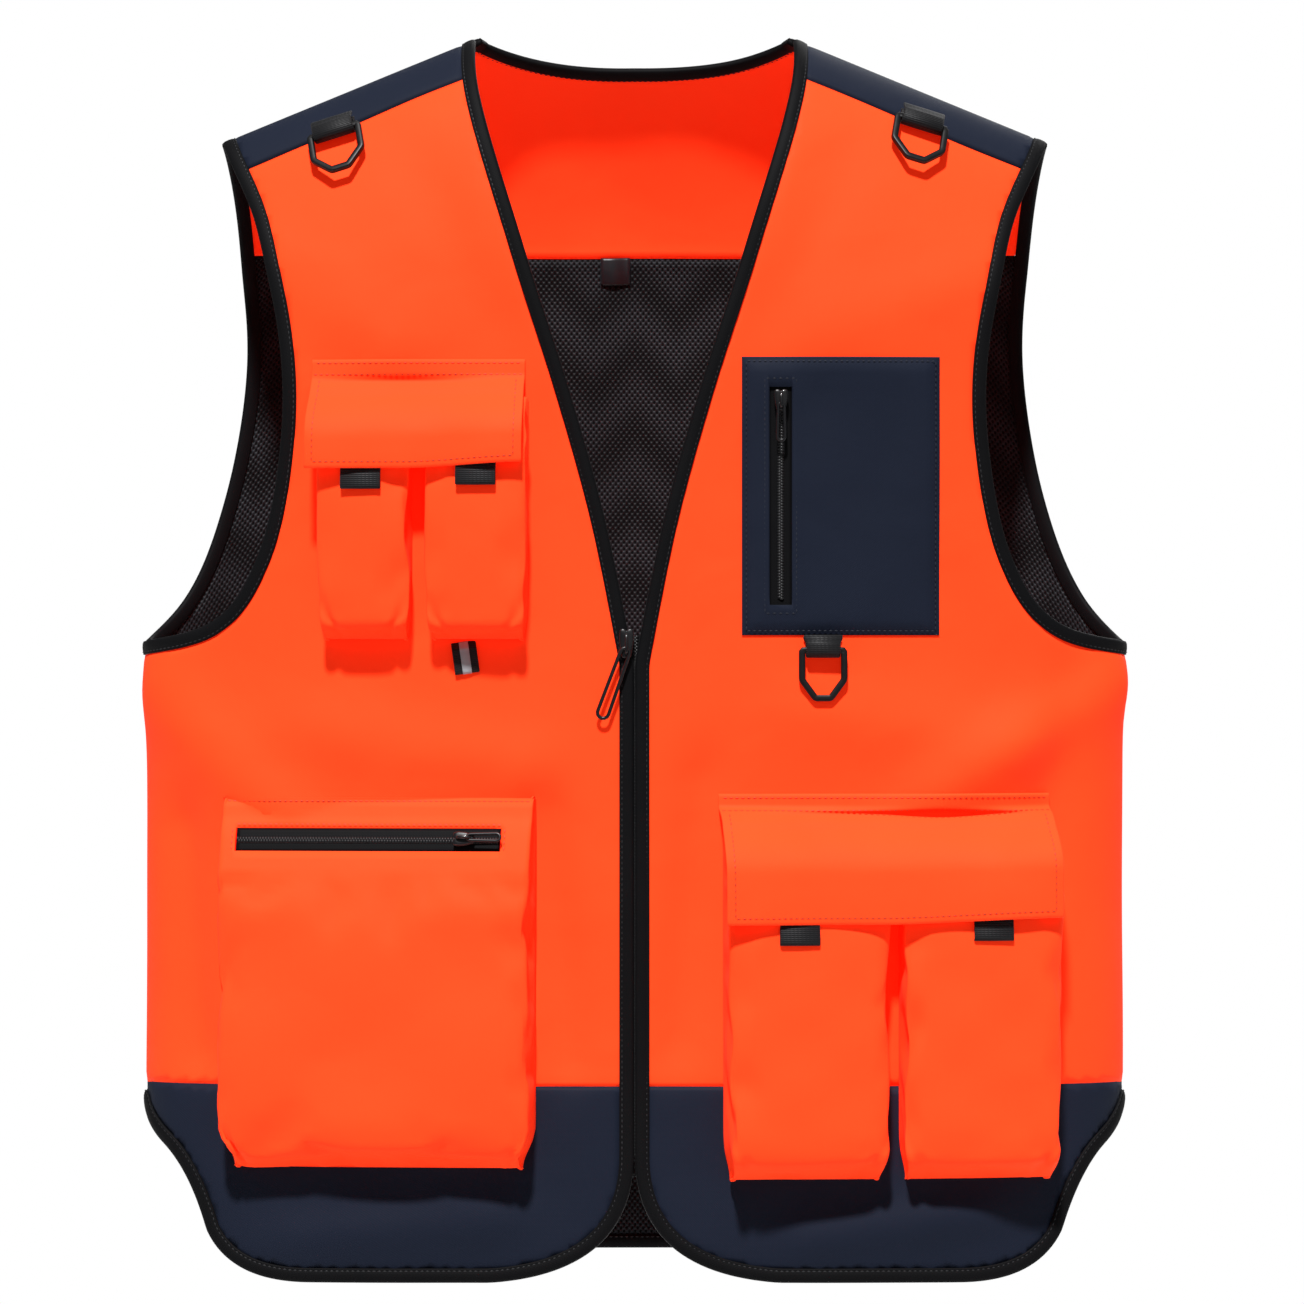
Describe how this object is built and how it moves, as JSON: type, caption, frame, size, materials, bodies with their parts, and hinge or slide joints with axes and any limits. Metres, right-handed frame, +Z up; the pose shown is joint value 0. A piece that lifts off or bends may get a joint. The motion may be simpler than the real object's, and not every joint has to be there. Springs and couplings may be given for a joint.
{
  "type": "utility vest",
  "caption": "Sleeveless V-neck utility vest, hung open-bodied, with mesh back, bound edges, front zip, flapped and zipped pockets and D-rings.",
  "frame": {"origin": "middle of the garment, level with the two neck peaks, where a hanger carries it", "axes": "+Z up, +X towards the wearer's left, -Y the way the wearer faces"},
  "size_m": [0.5924, 0.2084, 0.7471],
  "materials": {
    "orange_cloth": "plain-weave coated polyester, blaze orange, matte",
    "navy_cloth": "plain-weave coated polyester, dark navy, matte",
    "black_mesh": "warp-knit mesh with small round holes, black",
    "black_binding": "woven binding tape, black",
    "black_webbing": "ribbed polyester webbing, black",
    "zip_tape": "herringbone zip tape, black",
    "zip_coil": "moulded coil, black",
    "black_plastic": "moulded acetal, black, satin",
    "enamelled_metal": "black enamel on zinc, semi-gloss",
    "reflective_webbing": "grey reflective stripe on black webbing"
  },
  "bodies": {
    "root": {"back_yoke": "orange_cloth", "back_mesh_panel": "black_mesh", "back_hem_binding": "black_binding", "neck_label": "black_binding", "neck_binding": "black_binding", "right_shoulder_strap": "navy_cloth", "left_shoulder_strap": "navy_cloth", "right_front_upper": "orange_cloth", "left_front_upper": "orange_cloth", "right_armhole_binding": "black_binding", "left_armhole_binding": "black_binding", "right_ring_webbing": "black_webbing", "left_ring_webbing": "black_webbing"},
    "right_front": {"right_front_panel": "orange_cloth", "right_hem_panel": "navy_cloth", "right_edge_binding": "black_binding", "right_armhole_front_binding": "black_binding", "right_zip_half": "zip_tape", "zip_retainer_box": "zip_coil", "chest_facing": "orange_cloth", "chest_pouch_outer": "orange_cloth", "chest_pouch_inner": "orange_cloth", "chest_loop_patch_outer": "black_webbing", "chest_loop_patch_inner": "black_webbing", "reflective_loop": "reflective_webbing", "zip_pocket_bag": "orange_cloth", "zip_pocket_tape": "zip_tape", "zip_pocket_chain": "zip_coil"},
    "left_front": {"left_front_panel": "orange_cloth", "left_hem_panel": "navy_cloth", "left_edge_binding": "black_binding", "left_armhole_front_binding": "black_binding", "left_zip_half": "zip_tape", "zip_insert_pin": "zip_coil", "breast_pocket": "navy_cloth", "breast_zip_tape": "zip_tape", "breast_zip_chain": "zip_coil", "chest_ring_webbing": "black_webbing", "cargo_facing": "orange_cloth", "cargo_pouch_inner": "orange_cloth", "cargo_pouch_outer": "orange_cloth", "cargo_loop_patch_inner": "black_webbing", "cargo_loop_patch_outer": "black_webbing"},
    "chest_flap": {"chest_flap": "orange_cloth", "chest_hook_strip": "black_webbing", "chest_flap_tab_outer": "black_webbing", "chest_flap_tab_inner": "black_webbing"},
    "cargo_flap": {"cargo_flap": "orange_cloth", "cargo_hook_strip": "black_webbing", "cargo_flap_tab_outer": "black_webbing", "cargo_flap_tab_inner": "black_webbing"},
    "main_slider": {"main_slider": "enamelled_metal"},
    "main_puller": {"main_puller": "enamelled_metal"},
    "breast_slider": {"breast_slider": "enamelled_metal"},
    "breast_puller": {"breast_puller": "enamelled_metal"},
    "zip_pocket_slider": {"zip_pocket_slider": "enamelled_metal"},
    "zip_pocket_puller": {"zip_pocket_puller": "enamelled_metal"},
    "chest_ring": {"chest_ring": "black_plastic"},
    "right_shoulder_ring": {"right_shoulder_ring": "black_plastic"},
    "left_shoulder_ring": {"left_shoulder_ring": "black_plastic"}
  },
  "joints": [
    {"name": "right_front_swing", "type": "hinge", "parent": "root", "child": "right_front", "pos_m": [-0.2955, 0, -0.4], "axis": [0, 0, -1], "range_deg": [0, 20]},
    {"name": "left_front_swing", "type": "hinge", "parent": "root", "child": "left_front", "pos_m": [0.2955, 0, -0.4], "axis": [0, 0, 1], "range_deg": [0, 20]},
    {"name": "main_zip_slide", "type": "slide", "parent": "right_front", "child": "main_slider", "axis": [0, 0, -1], "range_m": [0, 0.3]},
    {"name": "main_puller_swing", "type": "hinge", "parent": "main_slider", "child": "main_puller", "pos_m": [-0.0047, -0.0896, -0.37], "axis": [-0.9397, 0, 0.342], "range_deg": [0, 140]},
    {"name": "chest_flap_lift", "type": "hinge", "parent": "right_front", "child": "chest_flap", "pos_m": [-0.13109, -0.08384, -0.2088], "axis": [-0.9951, 0.0986, 0], "range_deg": [0, 130]},
    {"name": "cargo_flap_lift", "type": "hinge", "parent": "left_front", "child": "cargo_flap", "pos_m": [0.15599, -0.08188, -0.4668], "axis": [-0.9882, -0.153, 0], "range_deg": [0, 130]},
    {"name": "zip_pocket_slide", "type": "slide", "parent": "right_front", "child": "zip_pocket_slider", "axis": [-0.9884, 0.1517, 0], "range_m": [0, 0.127]},
    {"name": "zip_pocket_puller_swing", "type": "hinge", "parent": "zip_pocket_slider", "child": "zip_pocket_puller", "pos_m": [-0.09971, -0.10326, -0.48189], "axis": [-0.0518, -0.3378, -0.9398], "range_deg": [0, 140]},
    {"name": "breast_zip_slide", "type": "slide", "parent": "left_front", "child": "breast_slider", "axis": [0, 0, -1], "range_m": [0, 0.111]},
    {"name": "breast_puller_swing", "type": "hinge", "parent": "breast_slider", "child": "breast_puller", "pos_m": [0.08743, -0.09247, -0.224], "axis": [-0.9989, -0.0473, 0], "range_deg": [0, 140]},
    {"name": "chest_ring_swing", "type": "hinge", "parent": "left_front", "child": "chest_ring", "pos_m": [0.11238, -0.0873, -0.371], "axis": [-0.9975, -0.0708, 0], "range_deg": [0, 110]},
    {"name": "right_ring_swing", "type": "hinge", "parent": "root", "child": "right_shoulder_ring", "pos_m": [-0.18055, -0.04326, -0.05912], "axis": [-0.9457, 0.1482, -0.2893], "range_deg": [0, 110]},
    {"name": "left_ring_swing", "type": "hinge", "parent": "root", "child": "left_shoulder_ring", "pos_m": [0.17255, -0.04265, -0.054], "axis": [-0.9474, -0.1466, 0.2845], "range_deg": [0, 110]}
  ]
}
